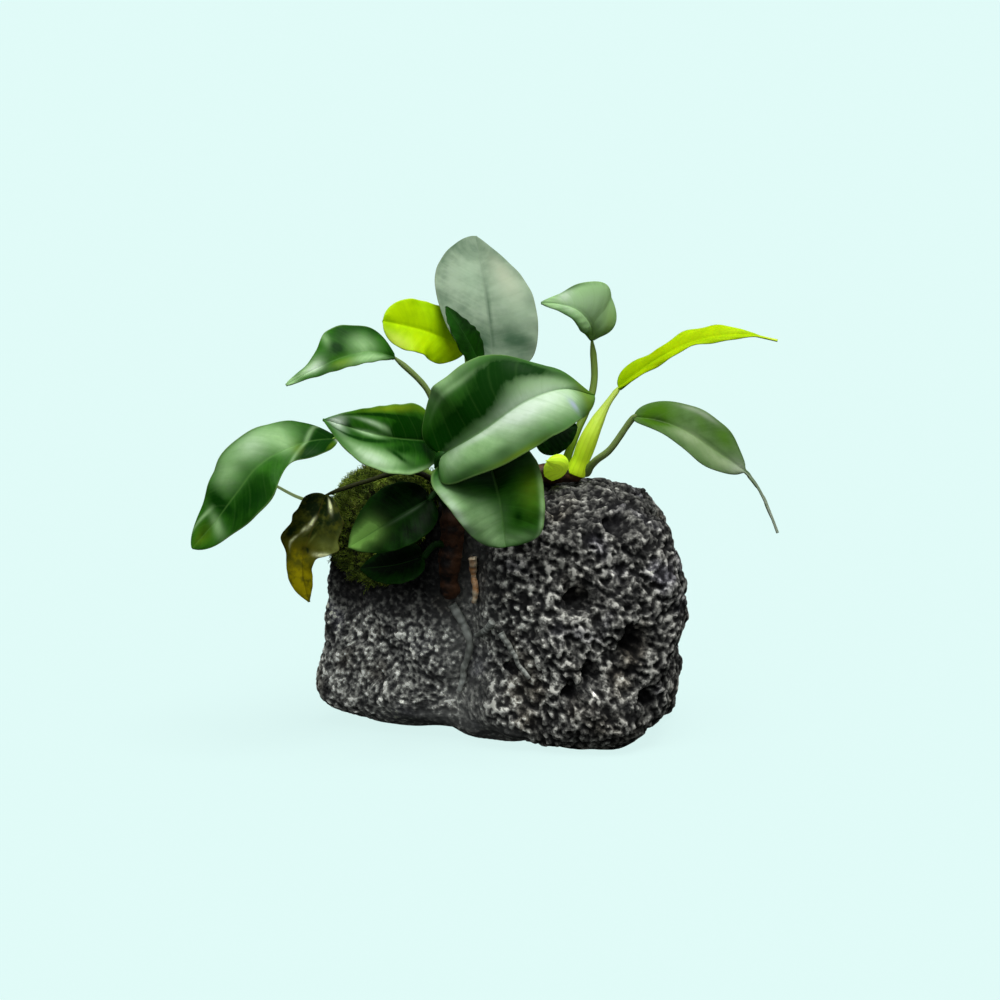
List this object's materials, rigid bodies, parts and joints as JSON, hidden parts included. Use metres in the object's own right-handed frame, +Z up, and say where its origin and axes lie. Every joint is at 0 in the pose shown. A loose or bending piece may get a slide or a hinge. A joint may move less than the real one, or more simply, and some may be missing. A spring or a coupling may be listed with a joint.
{
  "type": "anubias on stone",
  "caption": "Aquarium anubias with broad glossy leaves on arching stems, its creeping rhizome rooted over a dark porous lava stone that stands on a flat base.",
  "frame": {"origin": "middle of the stone's flat resting face", "axes": "+Z up, +X to the right and along the longest side of plant and stone, -Y towards the viewer, so the front leaves face -Y"},
  "size_m": [0.1725, 0.0856, 0.1458],
  "materials": {
    "lava_stone": "rough, porous, dark grey with pale grey grains",
    "rhizome": "reddish brown, slightly ringed",
    "root": "matt grey green",
    "root_pale": "matt cream",
    "moss": "matt dark olive tufts",
    "leaf_green": "glossy mid green with paler veins",
    "leaf_grey_green": "glossy grey green",
    "leaf_deep_green": "glossy dark green",
    "leaf_lime": "satin yellow green, thin and translucent",
    "leaf_old": "matt brown and yellow, decayed",
    "stem": "satin green",
    "stem_lime": "satin yellow green"
  },
  "bodies": {
    "root": {"stone": "lava_stone", "rhizome": "rhizome", "moss": "moss", "shoot_lime": "leaf_lime", "root_left": "root", "root_middle": "root", "root_right": "root", "root_pale": "root_pale", "aerial_root": "root", "leaf_top": "leaf_grey_green", "leaf_shaded": "leaf_deep_green", "leaf_lime_left": "leaf_lime", "leaf_upper_left": "leaf_green", "leaf_mid_left": "leaf_green", "leaf_arched_left": "leaf_green", "leaf_low_left": "leaf_deep_green", "leaf_low_shade": "leaf_deep_green", "leaf_front": "leaf_green", "leaf_hanging_front": "leaf_green", "leaf_behind": "leaf_deep_green", "leaf_small_right": "leaf_green", "leaf_lime_right": "leaf_lime", "leaf_tailed_right": "leaf_green", "leaf_old": "leaf_old", "stem_top": "stem", "stem_shaded": "stem", "stem_lime_left": "stem", "stem_upper_left": "stem", "stem_mid_left": "stem", "stem_arched_left": "stem", "stem_low_left": "stem", "stem_low_shade": "stem", "stem_front": "stem", "stem_hanging_front": "stem", "stem_behind": "stem", "stem_small_right": "stem", "stem_lime_right": "stem_lime", "stem_tailed_right": "stem", "stem_old": "stem"}
  },
  "joints": []
}
